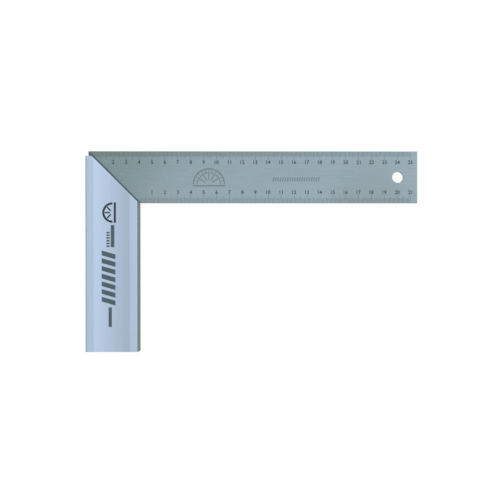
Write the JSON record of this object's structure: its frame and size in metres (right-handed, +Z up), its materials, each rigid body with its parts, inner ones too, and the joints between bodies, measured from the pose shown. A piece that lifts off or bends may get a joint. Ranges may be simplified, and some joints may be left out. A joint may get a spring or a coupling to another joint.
{
  "type": "try and mitre square",
  "caption": "L-shaped joiner's try and mitre square: a thick aluminium stock with a mitred end, and a thin steel blade with centimetre scales and a hanging hole.",
  "frame": {"origin": "centre of the bounding box's base: the square lies flat with the stock's back face on the surface", "axes": "+X along the blade, from the outer corner to its free end; +Y across the blade towards its outer edge, so the stock runs along -Y; +Z up, out of the graduated face"},
  "size_m": [0.2554, 0.1546, 0.02],
  "materials": {
    "anodised_aluminium": "satin natural anodised, fine lengthwise extrusion grain",
    "brushed_blade_steel": "ground and brushed lengthwise, fine grain",
    "pin_steel": "smooth hardened dowel steel",
    "adhesive": "cured two-part adhesive",
    "scale_etch": "dark etched graduations and numerals in the blade",
    "stock_print": "slate-grey screen print on the stock"
  },
  "bodies": {
    "root": {"stock": "anodised_aluminium", "blade": "brushed_blade_steel", "bond_film_front": "adhesive", "bond_film_back": "adhesive", "lock_pin_1": "pin_steel", "lock_pin_2": "pin_steel", "lock_pin_3": "pin_steel"}
  },
  "joints": []
}
